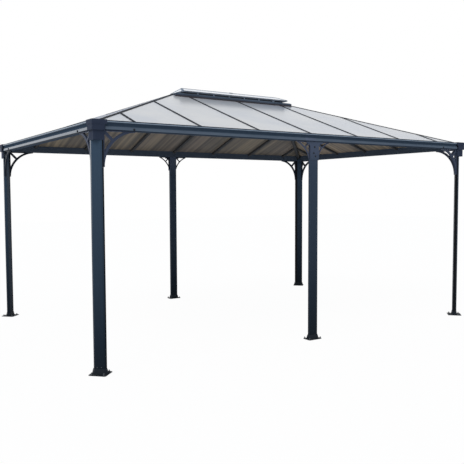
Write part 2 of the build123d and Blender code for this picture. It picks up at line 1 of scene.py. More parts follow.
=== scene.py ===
import bpy
from math import asin, atan, atan2, cos, radians, sin
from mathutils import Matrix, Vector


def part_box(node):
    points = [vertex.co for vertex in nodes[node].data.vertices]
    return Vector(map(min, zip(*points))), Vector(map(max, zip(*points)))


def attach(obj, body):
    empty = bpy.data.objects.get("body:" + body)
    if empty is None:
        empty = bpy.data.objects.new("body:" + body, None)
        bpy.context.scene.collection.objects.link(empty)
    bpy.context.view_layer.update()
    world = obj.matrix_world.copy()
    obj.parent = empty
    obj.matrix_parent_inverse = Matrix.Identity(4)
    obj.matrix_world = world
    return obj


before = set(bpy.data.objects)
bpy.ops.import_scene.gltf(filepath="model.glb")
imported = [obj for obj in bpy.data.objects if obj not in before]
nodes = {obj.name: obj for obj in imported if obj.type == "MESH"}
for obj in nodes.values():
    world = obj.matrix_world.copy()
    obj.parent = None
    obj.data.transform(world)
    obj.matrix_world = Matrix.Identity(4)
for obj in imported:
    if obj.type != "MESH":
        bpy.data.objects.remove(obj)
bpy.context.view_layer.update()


# Feet: cast aluminium sockets with a raised skirt round the post, powder coated nearly black and
# finely pitted. Dust lies on the plate, and four galvanised anchor bolts hold each to the ground.
class Shade:
    """A socket of a material, with arithmetic that adds Math nodes."""

    # A Mix node has number and vector sockets too, so its colours are found by their place.
    MIX_START = 6
    MIX_END = 7
    MIX_RESULT = 2

    def __init__(self, tree, socket):
        self.tree = tree
        self.socket = socket

    def node(self, kind, settings=None, sockets=None, out=0):
        """Adds any other node: its settings first, then its sockets."""
        made = self.tree.nodes.new(kind)
        for name, value in (settings or {}).items():
            setattr(made, name, value)
        for name, value in (sockets or {}).items():
            if isinstance(value, Shade):
                self.tree.links.new(value.socket, made.inputs[name])
            else:
                made.inputs[name].default_value = value
        return Shade(self.tree, made.outputs[out])

    def maths(self, operation, first, second):
        return self.node("ShaderNodeMath", {"operation": operation}, {0: first, 1: second})

    def __add__(self, other):
        return self.maths("ADD", self, other)

    def __sub__(self, other):
        return self.maths("SUBTRACT", self, other)

    def __rsub__(self, other):
        return self.maths("SUBTRACT", other, self)

    def __mul__(self, other):
        return self.maths("MULTIPLY", self, other)

    def __truediv__(self, other):
        return self.maths("DIVIDE", self, other)

    def __rtruediv__(self, other):
        return self.maths("DIVIDE", other, self)

    def __abs__(self):
        return self.maths("ABSOLUTE", self, 0.0)

    __radd__ = __add__
    __rmul__ = __mul__

    def ramp(self, low, high):
        """0 at low, 1 at high and smooth between."""
        smooth = {"interpolation_type": "SMOOTHSTEP"}
        limits = {"Value": self, "From Min": low, "From Max": high}
        return self.node("ShaderNodeMapRange", smooth, limits)

    def noise(self, scale, stretch=(1.0, 1.0, 1.0), detail=3.0):
        """Noise over this position, drawn out along an axis where stretch is small."""
        drawn = self.node("ShaderNodeVectorMath", {"operation": "MULTIPLY"}, {0: self, 1: stretch})
        return self.node("ShaderNodeTexNoise", None, {"Vector": drawn, "Scale": scale, "Detail": detail})

    def axis(self, letter):
        return self.node("ShaderNodeSeparateXYZ", None, {"Vector": self}, letter)

    def normal(self):
        """The way the surface faces."""
        return self.node("ShaderNodeNewGeometry", out="Normal")

    def blend(self, start, end):
        """A colour between start at 0 and end at 1."""
        sockets = {0: self}
        for number, colour in ((self.MIX_START, start), (self.MIX_END, end)):
            sockets[number] = colour if isinstance(colour, Shade) else (*colour, 1.0)
        return self.node("ShaderNodeMix", {"data_type": "RGBA"}, sockets, self.MIX_RESULT)

    def bump(self, shader, strength, distance):
        """Raises the surface by this height."""
        sockets = {"Height": self, "Strength": strength, "Distance": distance}
        self.node("ShaderNodeBump", None, sockets).feed(shader, "Normal")

    def feed(self, shader, name):
        self.tree.links.new(self.socket, shader.inputs[name])


def new_finish(name, fixed):
    """A material with its Principled shader, its steady values and the piece's own coordinates."""
    material = bpy.data.materials.new(name)
    material.use_nodes = True
    tree = material.node_tree
    shader = tree.nodes["Principled BSDF"]
    for socket, value in fixed.items():
        shader.inputs[socket].default_value = value
    place = Shade(tree, tree.nodes.new("ShaderNodeTexCoord").outputs["Object"])
    return material, shader, place


def dull(shader, pattern, least, spread):
    """Roughness that grows from least by spread where the pattern is full."""
    (pattern * spread + least).feed(shader, "Roughness")


def wear(piece, material):
    """Gives a piece one material all over."""
    piece.data.materials.clear()
    piece.data.materials.append(material)


CAST_LIGHT = (0.010, 0.015, 0.022)
CAST_DARK = (0.004, 0.007, 0.011)
CAST_DUST = (0.060, 0.058, 0.054)
CAST_GRAIN = 160.0
CAST_PIT = 0.001
DUST_PATCHES = 32.0
DUST_TOP = 0.012
DUST_COVER = 0.3


def foot_casting():
    """Powder coat over a cast skin, with dust on the plate."""
    material, shader, place = new_finish("cast_foot_coat", {"Specular IOR Level": 0.15})
    grain = place.noise(CAST_GRAIN)
    dust = (1.0 - place.axis("Z").ramp(0.0, DUST_TOP)) * place.noise(DUST_PATCHES)
    coat = grain.blend(CAST_DARK, CAST_LIGHT)
    (dust * DUST_COVER).blend(coat, CAST_DUST).feed(shader, "Base Color")
    dull(shader, grain, least=0.42, spread=0.2)
    grain.bump(shader, strength=0.15, distance=CAST_PIT)
    return material


casting = foot_casting()
feet = [name for name in nodes if name.endswith("foot")]
for name in feet:
    wear(nodes[name], casting)

ZINC_LIGHT = (0.110, 0.118, 0.128)
ZINC_DARK = (0.045, 0.050, 0.056)
STEEL_MOTTLE = 260.0


def bare_steel(name, light, dark, shine):
    """Mottled steel, greyer and duller where it has weathered."""
    material, shader, place = new_finish(name, {"Specular IOR Level": 0.3})
    mottle = place.noise(STEEL_MOTTLE, detail=4.0)
    mottle.blend(dark, light).feed(shader, "Base Color")
    dull(shader, mottle, least=0.35, spread=0.3)
    (mottle * shine).feed(shader, "Metallic")
    return material


def start_piece():
    """Leaves object mode with nothing selected."""
    if bpy.context.mode != "OBJECT":
        bpy.ops.object.mode_set(mode="OBJECT")
    bpy.ops.object.select_all(action="DESELECT")


def make_active(piece):
    """Selects one piece alone."""
    start_piece()
    piece.select_set(True)
    bpy.context.view_layer.objects.active = piece


def rod(radius, depth, place, sides, turn=(0.0, 0.0, 0.0)):
    """A cylinder to start from, with its middle at a place."""
    start_piece()
    bpy.ops.mesh.primitive_cylinder_add(
        vertices=sides, radius=radius, depth=depth, location=place, rotation=turn
    )
    bpy.ops.object.transform_apply(location=True, rotation=True, scale=True)
    return bpy.context.object


def open_faces(piece, chosen):
    """Opens a piece in edit mode with those faces selected whose normal is chosen."""
    make_active(piece)
    bpy.ops.object.mode_set(mode="EDIT")
    bpy.ops.mesh.select_mode(type="FACE")
    bpy.ops.mesh.select_all(action="DESELECT")
    bpy.ops.object.mode_set(mode="OBJECT")
    for face in piece.data.polygons:
        face.select = chosen(face.normal)
    bpy.ops.object.mode_set(mode="EDIT")


def join(name, parts):
    """Makes one piece of several, with its place in its mesh."""
    start_piece()
    for part in parts:
        part.select_set(True)
    bpy.context.view_layer.objects.active = parts[0]
    bpy.ops.object.join()
    piece = bpy.context.object
    piece.name = name
    bpy.ops.object.transform_apply(location=True, rotation=True, scale=True)
    return piece


SMOOTH_BELOW = radians(35.0)


def settle(piece, material):
    """Dresses a finished piece and fixes it to the gazebo."""
    make_active(piece)
    bpy.ops.object.shade_smooth_by_angle(angle=SMOOTH_BELOW)
    wear(piece, material)
    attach(piece, "root")


def copy_to(piece, move, turn=0.0):
    """A copy with its own mesh, turned about the upright axis and moved."""
    make_active(piece)
    bpy.ops.object.duplicate(linked=False)
    made = bpy.context.object
    made.rotation_euler = (0.0, 0.0, turn)
    made.location = move
    bpy.ops.object.transform_apply(location=True, rotation=True, scale=True)
    return made


def middle(name):
    """The middle of a node's box in plan."""
    low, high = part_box(name)
    return (low[0] + high[0]) / 2, (low[1] + high[1]) / 2


FACING = 0.9
HEXAGON = 6
ROUND_STEPS = 24
WASHER_RADIUS = 0.0105
WASHER_TALL = 0.002
NUT_RADIUS = 0.0085
NUT_TALL = 0.007
STUD_RADIUS = 0.005
STUD_TALL = 0.016
STUD_STEPS = 16
CHAMFER = 0.001
EDGE_STEPS = 2


def facing_up(normal):
    return normal.z > FACING


def anchor_bolt():
    """A stud with its nut and washer, standing at the origin."""
    washer = rod(WASHER_RADIUS, WASHER_TALL, (0.0, 0.0, WASHER_TALL / 2), ROUND_STEPS)
    open_faces(washer, facing_up)
    bpy.ops.mesh.bevel(offset=CHAMFER / 2, segments=EDGE_STEPS, affect="EDGES")
    nut = rod(NUT_RADIUS, NUT_TALL, (0.0, 0.0, WASHER_TALL + NUT_TALL / 2), HEXAGON)
    open_faces(nut, facing_up)
    bpy.ops.mesh.inset(thickness=CHAMFER, depth=CHAMFER / 2)
    stud = rod(STUD_RADIUS, STUD_TALL, (0.0, 0.0, WASHER_TALL + STUD_TALL / 2), STUD_STEPS)
    open_faces(stud, facing_up)
    bpy.ops.mesh.inset(thickness=CHAMFER, depth=CHAMFER)
    return join("anchor_model", [washer, nut, stud])


FOOT_TOP = 0.005
HOLE_REACH = 0.082
MID_HOLE_X = 0.073
MID_HOLE_Y = 0.044
NUT_TURN = radians(17.0)
galvanised = bare_steel("galvanised_fixings", ZINC_LIGHT, ZINC_DARK, shine=0.5)
anchor = anchor_bolt()
corner_holes = [(HOLE_REACH, 0.0), (-HOLE_REACH, 0.0), (0.0, HOLE_REACH), (0.0, -HOLE_REACH)]
mid_holes = [(x, y) for x in (-MID_HOLE_X, MID_HOLE_X) for y in (-MID_HOLE_Y, MID_HOLE_Y)]
for name in feet:
    x, y = middle(name)
    bolts = []
    for number, (along, across) in enumerate(mid_holes if "mid" in name else corner_holes):
        bolts.append(copy_to(anchor, (x + along, y + across, FOOT_TOP), NUT_TURN * number))
    settle(join(name.replace("foot", "anchor_bolts"), bolts), galvanised)
bpy.data.objects.remove(anchor)


# Posts: hollow aluminium extrusions, six-sided at the corners and four-sided in the middle of the
# long sides, powder coated slate blue. Two pan-head screws pin each corner post to its foot.
POST_X, POST_Y = middle("back_right_post")
POST_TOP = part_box("back_right_post")[1][2]
POST_HIGH = (0.034, 0.060, 0.094)
# Painted shade: the posts darken to this nearly black tone at the ground.
POST_PAINTED_SHADE_LOW = (0.002, 0.006, 0.011)
MID_HIGH = (0.032, 0.050, 0.080)
# The mid posts are painted lighter near their heads.
MID_HEAD_LIGHTER = (0.066, 0.082, 0.124)
HEAD_LIGHTER_FROM = 1.86
HEAD_LIGHTER_FULL = 2.06
POST_STREAK = (0.045, 0.067, 0.095)
DRAW_LINES = 55.0
DRAWN_UPRIGHT = (1.0, 1.0, 0.02)
STREAK_LINES = 0.15
STREAK_CLOUDS = 0.10
STREAK_FULL = 0.6
POST_CLOUDS = 2.5
POST_DUST = (0.060, 0.060, 0.058)
SPLASH_FROM = 0.04
SPLASH_TOP = 0.30
SPLASH_PATCHES = 22.0
SPLASH_COVER = 0.08
# Painted shade: a near-black strip down one edge of each corner post.
EDGE_SHADE_BLACK = (0.002, 0.003, 0.005)
EDGE_SHADE_FROM = 0.031
EDGE_SHADE_SOFT = 0.001
EDGE_SHADE_TO = 0.060
EDGE_SHADE_GONE = 0.080
POST_DULL = 0.34
CLOUD_DULL = 0.12
SPLASH_DULL = 0.2
SIDE_FROM = 0.8
SIDE_FULL = 0.95
SHINE_FROM = 0.45
POST_SHINE = 0.9
PEEL_GRAIN = 700.0
PEEL_DEEP = 0.0005


def orange_peel(place, shader, strength):
    """The fine dimples of baked powder."""
    place.noise(PEEL_GRAIN, detail=1.0).bump(shader, strength, PEEL_DEEP)


def post_coat(name, high, head_tone):
    """Powder coat with draw lines, painted shade low down and in a strip along one edge, and outer
    shine.
    """
    fixed = {"Specular IOR Level": 0.10, "Coat Roughness": 0.12, "Coat IOR": 1.7}
    material, shader, place = new_finish(name, fixed)
    height = place.axis("Z") / POST_TOP
    drawn = place.noise(DRAW_LINES, DRAWN_UPRIGHT)
    cloud = place.noise(POST_CLOUDS)
    dust = (1.0 - place.axis("Z").ramp(SPLASH_FROM, SPLASH_TOP)) * place.noise(SPLASH_PATCHES)
    upper = place.axis("Z").ramp(HEAD_LIGHTER_FROM, HEAD_LIGHTER_FULL).blend(high, head_tone)
    # Painted shade: the colour darkens from the top towards the ground.
    coat = height.blend(POST_PAINTED_SHADE_LOW, upper)
    streak = (drawn * STREAK_LINES + cloud * STREAK_CLOUDS) * height.ramp(0.0, STREAK_FULL)
    dusty = (dust * SPLASH_COVER).blend(streak.blend(coat, POST_STREAK), POST_DUST)
    # Painted shade: a near-black strip down the corner posts' edge that faces the middle of the side.
    inward = POST_X - abs(place.axis("X"))
    painted_strip_start = inward.ramp(EDGE_SHADE_FROM - EDGE_SHADE_SOFT, EDGE_SHADE_FROM + EDGE_SHADE_SOFT)
    painted_edge_shade = painted_strip_start * (1.0 - inward.ramp(EDGE_SHADE_TO, EDGE_SHADE_GONE))
    painted_edge_shade.blend(dusty, EDGE_SHADE_BLACK).feed(shader, "Base Color")
    (cloud * CLOUD_DULL + dust * SPLASH_DULL + POST_DULL).feed(shader, "Roughness")
    outward = place.normal().axis("X") * place.axis("X") / POST_X
    shine = outward.ramp(SIDE_FROM, SIDE_FULL) * height.ramp(SHINE_FROM, 1.0)
    (shine * POST_SHINE).feed(shader, "Coat Weight")
    orange_peel(place, shader, strength=0.05)
    return material


corner_paint = post_coat("corner_post_coat", POST_HIGH, POST_HIGH)
mid_paint = post_coat("mid_post_coat", MID_HIGH, MID_HEAD_LIGHTER)
posts = [name for name in nodes if name.endswith("post")]
for name in posts:
    wear(nodes[name], mid_paint if "mid" in name else corner_paint)

SCREW_RADIUS = 0.0045
SCREW_TALL = 0.003
SCREW_STEPS = 20
SCREW_SPREAD = 0.020
SCREW_HEIGHT = 0.062
POST_HALF_DEPTH = 0.022
LOOKING_FRONT = (radians(90.0), 0.0, 0.0)


def facing_front(normal):
    return normal.y < -FACING


def draw_out(x, y, z):
    """Extrudes what is selected."""
    bpy.ops.mesh.extrude_region_move(TRANSFORM_OT_translate={"value": (x, y, z)})


def pan_screw(radius, tall):
    """A pan head at the origin that looks to the front, with a round driver recess."""
    head = rod(radius, tall, (0.0, -tall / 2, 0.0), SCREW_STEPS, LOOKING_FRONT)
    open_faces(head, facing_front)
    bpy.ops.mesh.inset(thickness=radius / 4, depth=tall / 4)
    bpy.ops.mesh.inset(thickness=radius / 4, depth=0.0)
    draw_out(0.0, tall / 2, 0.0)
    start_piece()
    return head


screw = pan_screw(SCREW_RADIUS, SCREW_TALL)
for name in [name for name in posts if "mid" not in name]:
    x, y = middle(name)
    heading = atan2(x / POST_X, -y / POST_Y)
    heads = []
    for side in (-SCREW_SPREAD, SCREW_SPREAD):
        place = (
            x + sin(heading) * POST_HALF_DEPTH + cos(heading) * side,
            y - cos(heading) * POST_HALF_DEPTH + sin(heading) * side,
            SCREW_HEIGHT,
        )
        heads.append(copy_to(screw, place, heading))
    settle(join(name.replace("post", "post_screws"), heads), galvanised)
bpy.data.objects.remove(screw)


# Beams and gutters: powder-coated aluminium extrusions. The beam is a plain box inside; the gutter
# outside it has a flat band, a cove and a rounded rim, and its ends sit in the corner caps. Painted
# shade darkens the cove, the crest of the rim and the foot of the band, and the rim has a painted
# highlight below its crest.
GUTTER_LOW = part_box("front_gutter_fascia")[0][2]
GUTTER_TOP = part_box("front_gutter_fascia")[1][2]
BAND_TALL = 0.029
COVE_TALL = 0.039
COVE_TOP = BAND_TALL + COVE_TALL
RIM_TALL = GUTTER_TOP - GUTTER_LOW - COVE_TOP
GUTTER_LIGHT = (0.110, 0.138, 0.174)
GUTTER_MID = (0.074, 0.096, 0.128)
# Painted highlight on the rim below its crest.
GUTTER_RIM_HIGHLIGHT = (0.350, 0.410, 0.480)
# Painted shade in the cove, varied by upright streaks.
GUTTER_COVE_SHADE = (0.032, 0.049, 0.072)
# Painted shade: dark lines on the rim's crest and at the foot of the band.
GUTTER_LINE_SHADE = (0.005, 0.009, 0.016)
COVE_FADE_LOW = 0.010
COVE_FADE_TOP = 0.004
SILL_FROM = 0.0025
SILL_TO = 0.0070
RIM_LIT = COVE_TOP + 0.15 * RIM_TALL
CREST_FROM = COVE_TOP + 0.38 * RIM_TALL
CREST_TO = COVE_TOP + 0.48 * RIM_TALL
GUTTER_CLOUDS = 4.0
COVE_STREAKS = 30.0
COVE_STREAKS_UPRIGHT = (1.0, 1.0, 0.1)
COVE_SHADE_COVER = 0.8
COVE_STREAK_COVER = 0.2
LINE_SHADE_COVER = 0.9
GUTTER_DULL = 0.28
GUTTER_CLOUD_DULL = 0.1
COVE_DULL = 0.2
SILL_DULL = 0.3


def gutter_coat(name, light, mid, shine, shine_ior):
    """Powder coat with painted shade in the cove, at the foot and on the crest, and a painted rim
    highlight.
    """
    fixed = {"Specular IOR Level": 0.0, "Coat Roughness": 0.16, "Coat IOR": shine_ior}
    material, shader, place = new_finish(name, fixed)
    height = place.axis("Z") - GUTTER_LOW
    above_band = height.ramp(BAND_TALL, BAND_TALL + COVE_FADE_LOW)
    cove = above_band * (1.0 - height.ramp(COVE_TOP - COVE_FADE_TOP, COVE_TOP))
    sill = 1.0 - height.ramp(SILL_FROM, SILL_TO)
    crest = height.ramp(CREST_FROM, CREST_TO)
    # Painted highlight along the rim.
    rim_highlight = height.ramp(COVE_TOP, RIM_LIT) * (1.0 - crest)
    cloud = place.noise(GUTTER_CLOUDS)
    cove_streak = place.noise(COVE_STREAKS, COVE_STREAKS_UPRIGHT)
    lit = rim_highlight.blend(cloud.blend(mid, light), GUTTER_RIM_HIGHLIGHT)
    # Painted shade darkens the cove.
    shaded = (cove * (cove_streak * COVE_STREAK_COVER + COVE_SHADE_COVER)).blend(lit, GUTTER_COVE_SHADE)
    # Painted shade along the crest and the foot.
    line_shade = (sill + crest) * LINE_SHADE_COVER
    line_shade.blend(shaded, GUTTER_LINE_SHADE).feed(shader, "Base Color")
    grime = cloud * GUTTER_CLOUD_DULL + cove * COVE_DULL + sill * SILL_DULL
    (grime + GUTTER_DULL).feed(shader, "Roughness")
    ((1.0 - cove) * (1.0 - line_shade) * shine).feed(shader, "Coat Weight")
    orange_peel(place, shader, strength=0.04)
    return material


BEAM_DARK = (0.044, 0.058, 0.080)
BEAM_LIGHT = (0.068, 0.084, 0.110)


def beam_coat():
    """Powder coat on the plain inner beam."""
    material, shader, place = new_finish("beam_powder_coat", {"Specular IOR Level": 0.0})
    cloud = place.noise(GUTTER_CLOUDS)
    cloud.blend(BEAM_DARK, BEAM_LIGHT).feed(shader, "Base Color")
    dull(shader, cloud, least=0.36, spread=0.1)
    orange_peel(place, shader, strength=0.04)
    return material


long_gutter = gutter_coat("long_gutter_coat", GUTTER_LIGHT, GUTTER_MID, shine=0.10, shine_ior=1.5)
short_gutter = gutter_coat("short_gutter_coat", GUTTER_LIGHT, GUTTER_MID, shine=1.0, shine_ior=2.0)
beam_paint = beam_coat()
for name in nodes:
    if name.endswith(("beam", "gutter_floor")):
        wear(nodes[name], beam_paint)
    if name.endswith("fascia"):
        wear(nodes[name], short_gutter if name.startswith(("left", "right")) else long_gutter)


# Gutter joiners: pressed aluminium sleeves over the joint of the gutter's two halves, above the
# mid posts. Each wraps the band, follows the cove, rolls over the rim and hooks inside it.
def open_edges(piece, chosen):
    """Opens a piece in edit mode with those edges selected whose two ends are both chosen."""
    make_active(piece)
    bpy.ops.object.mode_set(mode="EDIT")
    bpy.ops.mesh.select_mode(type="EDGE")
    bpy.ops.mesh.select_all(action="DESELECT")
    bpy.ops.object.mode_set(mode="OBJECT")
    points = piece.data.vertices
    for edge_highlight in piece.data.edges:
        edge_highlight.select = all(chosen(points[number].co) for number in edge_highlight.vertices)
    bpy.ops.object.mode_set(mode="EDIT")


def leaf(size, place, turn=(0.0, 0.0, 0.0)):
    """A flat sheet to start from, with its middle at a place."""
    start_piece()
    bpy.ops.mesh.primitive_plane_add(size=1.0, location=place, rotation=turn)
    piece = bpy.context.object
    piece.scale = (*size, 1.0)
    bpy.ops.object.transform_apply(location=True, rotation=True, scale=True)
    return piece


def thicken(piece, wall):
    """Gives a bent sheet its thickness, half to each side."""
    make_active(piece)
    piece.modifiers.new("wall", "SOLIDIFY").thickness = wall
    piece.modifiers["wall"].offset = 0.0
    bpy.ops.object.modifier_apply(modifier="wall")


def soften(piece, width):
    """Rounds a piece's edges with a bevel."""
    make_active(piece)
    piece.modifiers.new("edges", "BEVEL").width = width
    piece.modifiers["edges"].segments = EDGE_STEPS
    bpy.ops.object.modifier_apply(modifier="edges")


JOINER_LIGHT = (0.118, 0.140, 0.190)
JOINER_MID = (0.082, 0.100, 0.142)
JOINER_LONG = 0.15
JOINER_OFF = 0.065
JOINER_WALL = 0.0014
JOINER_UNDER = 0.016
JOINER_HOOK = (0.0, 0.0035, -0.0070)
COVE_DEEP = 0.011
RIM_OUT = 0.008
ARC_STEPS = 10
FRONT_REACH = -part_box("front_gutter_fascia")[0][1] - RIM_OUT
joiner_face = FRONT_REACH + JOINER_WALL
joiner_low = GUTTER_LOW - JOINER_WALL
sleeve_place = (-JOINER_OFF, JOINER_UNDER / 2 - joiner_face, joiner_low)
sleeve = leaf((JOINER_LONG, JOINER_UNDER), sleeve_place)
open_edges(sleeve, lambda point: point.y < JOINER_UNDER / 4 - joiner_face)
draw_out(0.0, 0.0, BAND_TALL + JOINER_WALL)
arcs = ((COVE_TALL, COVE_DEEP, -1.0), (RIM_TALL, RIM_OUT, 1.0))
arc_foot = GUTTER_LOW + BAND_TALL
for tall, deep, way in arcs:
    radius = (tall * tall / 4 + deep * deep) / (2 * deep)
    centre = (0.0, way * (radius - deep) - joiner_face, arc_foot + tall / 2)
    sweep = way * 2 * asin(tall / 2 / radius)
    bpy.ops.mesh.spin(steps=ARC_STEPS, angle=sweep, center=centre, axis=(1.0, 0.0, 0.0))
    arc_foot += tall
draw_out(*JOINER_HOOK)
thicken(sleeve, JOINER_WALL)
soften(sleeve, JOINER_WALL / 4)
joiner_paint = gutter_coat("joiner_coat", JOINER_LIGHT, JOINER_MID, shine=0.10, shine_ior=1.5)
for side, turn in (("front", 0.0), ("back", radians(180.0))):
    joiner = copy_to(sleeve, (0.0, 0.0, 0.0), turn)
    joiner.name = f"{side}_gutter_joiner"
    settle(joiner, joiner_paint)
bpy.data.objects.remove(sleeve)


# Braces: flat aluminium castings with an arc, a strut and two bars, powder coated and screwed to
# the post and up into the beam. A dark hexagon bolt shows on the gutter band at each outer end.
FRONT_BRACE_LIGHT = (0.046, 0.056, 0.088)
FRONT_BRACE_DARK = (0.032, 0.042, 0.068)
# Painted light: the front mid braces get a lighter copy of the brace paint.
LIT_MID_BRACE_LIGHT = (0.082, 0.092, 0.134)
LIT_MID_BRACE_DARK = (0.060, 0.070, 0.106)
# Painted shade: the back braces get a darker copy of the brace paint.
SHADED_BRACE_LIGHT = (0.014, 0.020, 0.032)
SHADED_BRACE_DARK = (0.007, 0.011, 0.018)
BRACE_CLOUDS = 14.0


def brace_coat(name, light, dark):
    """Powder coat on the flat castings."""
    material, shader, place = new_finish(name, {"Specular IOR Level": 0.1})
    cloud = place.noise(BRACE_CLOUDS)
    cloud.blend(dark, light).feed(shader, "Base Color")
    dull(shader, cloud, least=0.32, spread=0.15)
    orange_peel(place, shader, strength=0.06)
    return material


front_brace = brace_coat("front_brace_coat", FRONT_BRACE_LIGHT, FRONT_BRACE_DARK)
lit_mid_brace = brace_coat("mid_brace_painted_light", LIT_MID_BRACE_LIGHT, LIT_MID_BRACE_DARK)
shaded_back_brace = brace_coat("back_brace_painted_shade", SHADED_BRACE_LIGHT, SHADED_BRACE_DARK)
for name in nodes:
    if name.endswith("braces") and name.startswith("back"):
        wear(nodes[name], shaded_back_brace)
    elif name.endswith("braces"):
        wear(nodes[name], lit_mid_brace if "mid" in name else front_brace)

BOLT_LIGHT = (0.012, 0.014, 0.018)
BOLT_DARK = (0.004, 0.005, 0.007)
FLANGE_WIDER = 1.15
BAND_BOLT_RADIUS = 0.0085
BAND_BOLT_TALL = 0.006
BAND_BOLT_HEIGHT = GUTTER_LOW + BAND_TALL / 2
BOLT_FROM_POST = 0.332
SIDE_REACH = -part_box("left_gutter_fascia")[0][0] - RIM_OUT


def hexagon_bolt(radius, tall):
    """A chamfered hexagon head on its round flange, at the origin and looking to the front."""
    flange_tall = tall / 4
    flange_place = (0.0, -flange_tall / 2, 0.0)
    flange = rod(radius * FLANGE_WIDER, flange_tall, flange_place, ROUND_STEPS, LOOKING_FRONT)
    open_faces(flange, facing_front)
    bpy.ops.mesh.bevel(offset=flange_tall / 3, segments=EDGE_STEPS, affect="EDGES")
    head_place = (0.0, -(tall + flange_tall) / 2, 0.0)
    head = rod(radius, tall - flange_tall, head_place, HEXAGON, LOOKING_FRONT)
    open_faces(head, facing_front)
    bpy.ops.mesh.inset(thickness=radius / 6, depth=tall / 10)
    return join("bolt_model", [flange, head])


black_steel = bare_steel("blackened_bolts", BOLT_LIGHT, BOLT_DARK, shine=0.3)
bolt = hexagon_bolt(BAND_BOLT_RADIUS, BAND_BOLT_TALL)
eaves = (
    ("front", radians(0.0), FRONT_REACH, POST_X),
    ("right", radians(90.0), SIDE_REACH, POST_Y),
    ("back", radians(180.0), FRONT_REACH, POST_X),
    ("left", radians(-90.0), SIDE_REACH, POST_Y),
)
for side, heading, reach, half in eaves:
    pair = []
    for along in (BOLT_FROM_POST - half, half - BOLT_FROM_POST):
        place = (
            sin(heading) * reach + cos(heading) * along,
            -cos(heading) * reach + sin(heading) * along,
            BAND_BOLT_HEIGHT,
        )
        pair.append(copy_to(bolt, place, heading))
    settle(join(f"{side}_band_bolts", pair), black_steel)
bpy.data.objects.remove(bolt)


# Head bolts: blackened steel bolts with hexagon heads, three in the flared plate at the head of
# each mid post. One sits near the top, and two below it stand to either side of the middle.
HEAD_BOLT_RADIUS = 0.0075
HEAD_BOLT_TALL = 0.006
HEAD_BOLTS = ((0.0, 0.060), (-0.012, 0.125), (0.012, 0.158))
bolt = hexagon_bolt(HEAD_BOLT_RADIUS, HEAD_BOLT_TALL)
for side, heading in (("front", 0.0), ("back", radians(180.0))):
    low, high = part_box(f"{side}_mid_post")
    face = low[1] if side == "front" else high[1]
    trio = []
    for along, drop in HEAD_BOLTS:
        trio.append(copy_to(bolt, (along * cos(heading), face, high[2] - drop), heading))
    settle(join(f"{side}_head_bolts", trio), black_steel)
bpy.data.objects.remove(bolt)


# Corner caps: injection-moulded plastic covers over the gutter corners, each with a skirt down
# its post. The plastic is matt, finely grained and a little more violet than the paint.
MOULD_DARK = (0.022, 0.030, 0.050)
MOULD_LIGHT = (0.040, 0.048, 0.074)
MOULD_CLOUDS = 9.0
MOULD_GRAIN = 900.0
MOULD_DEEP = 0.0004


def moulding():
    """Grained plastic with a faint mottle."""
    material, shader, place = new_finish("corner_cap_moulding", {"Specular IOR Level": 0.02})
    cloud = place.noise(MOULD_CLOUDS)
    cloud.blend(MOULD_DARK, MOULD_LIGHT).feed(shader, "Base Color")
    dull(shader, cloud, least=0.44, spread=0.12)
    place.noise(MOULD_GRAIN, detail=1.0).bump(shader, strength=0.12, distance=MOULD_DEEP)
    return material


cap_plastic = moulding()
for name in nodes:
    if name.endswith("gutter_cap"):
        wear(nodes[name], cap_plastic)


# Roof bars: rafters and hips of extruded aluminium with snap-on cover strips, painted darker than
# the frame. The covers shine where they lie in the short slopes, and there their edges carry a pale
# painted highlight.
PITCH = 0.36
ROOF_HEIGHT = 2.230
COVER_THICK = 0.005
BAR_TOP = (0.010, 0.014, 0.021)
BAR_LIGHT = (0.062, 0.060, 0.060)
BAR_DARK = (0.036, 0.036, 0.038)
# Painted highlight on the covers' edges in the short slopes.
EDGE_HIGHLIGHT = (0.56, 0.57, 0.63)
BAR_CLOUDS = 6.0
BAR_GRIME = 40.0
UPWARD_FROM = 0.3
UPWARD_FULL = 0.6
SIDEWAYS_FULL = 0.1
EDGE_SOFT = 0.001
COVER_SHINE = 0.95


def bar_coat(name, short_slope):
    """Satin paint; at 1 the switch adds shine and a painted highlight to the covers' edges."""
    material, shader, place = new_finish(name, {"Specular IOR Level": 0.05, "Coat Roughness": 0.08})
    normal = place.normal()
    upward = normal.axis("Z").ramp(UPWARD_FROM, UPWARD_FULL)
    sideways = (abs(normal.axis("X")) - abs(normal.axis("Y"))).ramp(0.0, SIDEWAYS_FULL)
    cover_foot = ROOF_HEIGHT - COVER_THICK
    above = place.axis("Z") + PITCH * (abs(place.axis("X")) - POST_X) - cover_foot
    # Painted highlight along the covers' edges above the sheets.
    edge_highlight = above.ramp(-EDGE_SOFT, 0.0) * (1.0 - upward) * short_slope
    side = place.noise(BAR_CLOUDS).blend(BAR_DARK, BAR_LIGHT)
    edge_highlight.blend(upward.blend(side, BAR_TOP), EDGE_HIGHLIGHT).feed(shader, "Base Color")
    dull(shader, place.noise(BAR_GRIME), least=0.50, spread=0.15)
    (upward * sideways * COVER_SHINE * short_slope).feed(shader, "Coat Weight")
    orange_peel(place, shader, strength=0.05)
    return material


bar_paint = bar_coat("roof_bar_coat", short_slope=0.0)
side_bar_paint = bar_coat("side_roof_bar_coat", short_slope=1.0)
for name in nodes:
    if name.endswith(("hip", "rafters")):
        wear(nodes[name], side_bar_paint if name.startswith(("left_r", "right_r")) else bar_paint)


